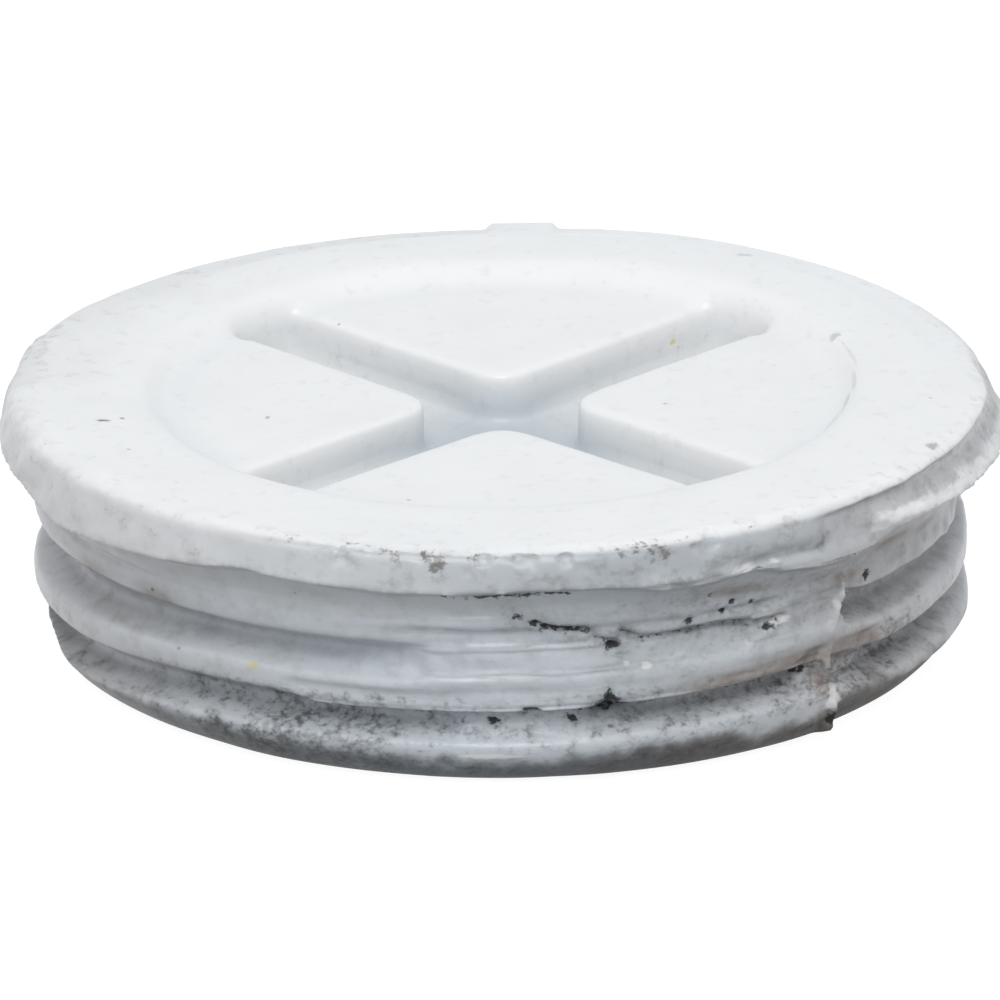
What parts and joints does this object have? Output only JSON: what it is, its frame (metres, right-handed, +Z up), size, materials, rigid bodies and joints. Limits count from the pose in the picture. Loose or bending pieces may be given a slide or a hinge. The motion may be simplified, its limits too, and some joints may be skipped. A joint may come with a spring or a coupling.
{
  "type": "threaded closure plug",
  "caption": "Die-cast threaded closure plug for a weatherproof box, white powder coat, dished head with a cross driver recess, short right-hand thread and hollow back",
  "frame": {"origin": "centre of the open rim's plane, on the thread axis, on the surface that the plug stands on", "axes": "+Z up along the thread axis, out of the head; -Y toward the viewer; the arms of the cross lie at 45 degrees between +X and +Y"},
  "size_m": [0.0282, 0.028, 0.0074],
  "materials": {
    "powder_coat": "semi-gloss white powder coat over die-cast zinc"
  },
  "bodies": {
    "root": {"plug": "powder_coat"}
  },
  "joints": []
}
